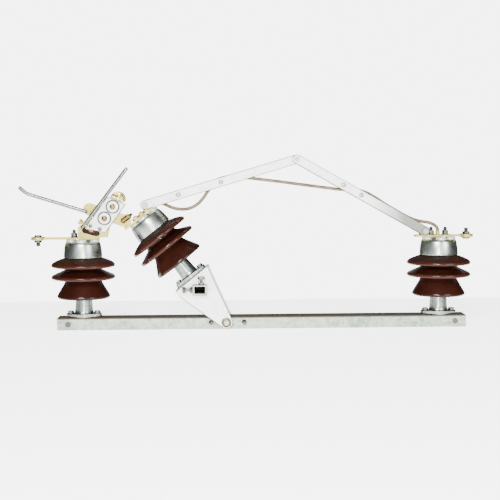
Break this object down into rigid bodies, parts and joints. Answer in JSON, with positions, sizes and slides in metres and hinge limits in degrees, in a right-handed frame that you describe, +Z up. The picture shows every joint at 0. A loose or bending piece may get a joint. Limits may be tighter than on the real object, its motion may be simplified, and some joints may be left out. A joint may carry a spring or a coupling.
{
  "type": "substation disconnect switch",
  "caption": "Single-pole air-break disconnect switch with porcelain post insulators, a tilting middle insulator, folding links, jaw contact and arcing horns on a channel base.",
  "frame": {"origin": "middle of the footprint box, on the plane of the channel's lower edges", "axes": "+X along the base towards the fixed hinge, +Y away from the viewer of the shaft socket, +Z up"},
  "size_m": [1.5036, 0.208, 0.572],
  "materials": {
    "galvanised": "hot-dip galvanised, mottled",
    "bright_zinc": "bright galvanised flat bar",
    "yellow_zinc": "yellow passivated zinc",
    "glaze": "dark red-brown glaze",
    "cast_metal": "satin grey galvanised casting",
    "fasteners": "zinc plated",
    "copper": "stranded copper",
    "brass": "plain brass"
  },
  "bodies": {
    "base": {"base_channel": "galvanised", "stop_bolts": "fasteners", "pivot_bolt": "brass", "post_foot_bolts": "fasteners", "left_post_foot": "cast_metal", "left_porcelain": "glaze", "left_cap": "cast_metal", "right_post_foot": "cast_metal", "right_porcelain": "glaze", "right_cap": "cast_metal", "left_terminal": "yellow_zinc", "left_terminal_bolt": "fasteners", "left_cap_studs": "fasteners", "right_terminal": "yellow_zinc", "right_terminal_bolt": "fasteners", "right_cap_studs": "fasteners", "hinge_pin": "fasteners", "jaw_bracket": "yellow_zinc", "jaw_plates": "bright_zinc", "contact_fingers": "yellow_zinc", "pressure_discs": "bright_zinc", "contact_rivets": "brass", "jaw_rivets": "fasteners", "jaw_shunt": "copper", "fixed_horn": "fasteners"},
    "tilt_arm": {"tilt_bracket": "bright_zinc", "shaft_socket": "galvanised", "socket_screws": "fasteners", "tilt_foot_bolts": "fasteners", "tilt_post_foot": "cast_metal", "tilt_porcelain": "glaze", "tilt_cap": "cast_metal", "contact_strip": "yellow_zinc", "tilt_cap_studs": "fasteners", "contact_blade": "yellow_zinc", "moving_horn": "fasteners", "link_pin": "fasteners"},
    "first_link": {"first_link_bars": "bright_zinc", "first_link_spacers": "fasteners", "cable_loop": "copper", "cable_span": "copper"},
    "second_link": {"second_link_bars": "bright_zinc", "second_link_spacers": "fasteners", "apex_bolt_heads": "fasteners", "cable_tail": "copper"},
    "apex": {"apex_pin": "fasteners"}
  },
  "joints": [
    {"name": "tilt", "type": "hinge", "parent": "base", "child": "tilt_arm", "pos_m": [-0.07, 0, 0.023], "axis": [0, 1, 0], "range_deg": [0, 50]},
    {"name": "first_link_hinge", "type": "hinge", "parent": "tilt_arm", "child": "first_link", "pos_m": [-0.33449, 0, 0.41026], "axis": [0, -1, 0], "range_deg": [0, 70.76], "deforming": ["cable_loop"]},
    {"name": "second_link_hinge", "type": "hinge", "parent": "base", "child": "second_link", "pos_m": [0.588, 0, 0.318], "axis": [0, 1, 0], "range_deg": [0, 46.73], "deforming": ["cable_tail"]},
    {"name": "apex_hinge", "type": "hinge", "parent": "first_link", "child": "apex", "pos_m": [0.166, 0, 0.557], "axis": [0, 1, 0], "range_deg": [0, 67.48], "deforming": ["cable_span"]}
  ],
  "couplings": [
    {"joint": "first_link_hinge", "follows": "tilt", "ratio": 1.415},
    {"joint": "second_link_hinge", "follows": "tilt", "ratio": 0.9344},
    {"joint": "apex_hinge", "follows": "tilt", "ratio": 1.3494}
  ]
}
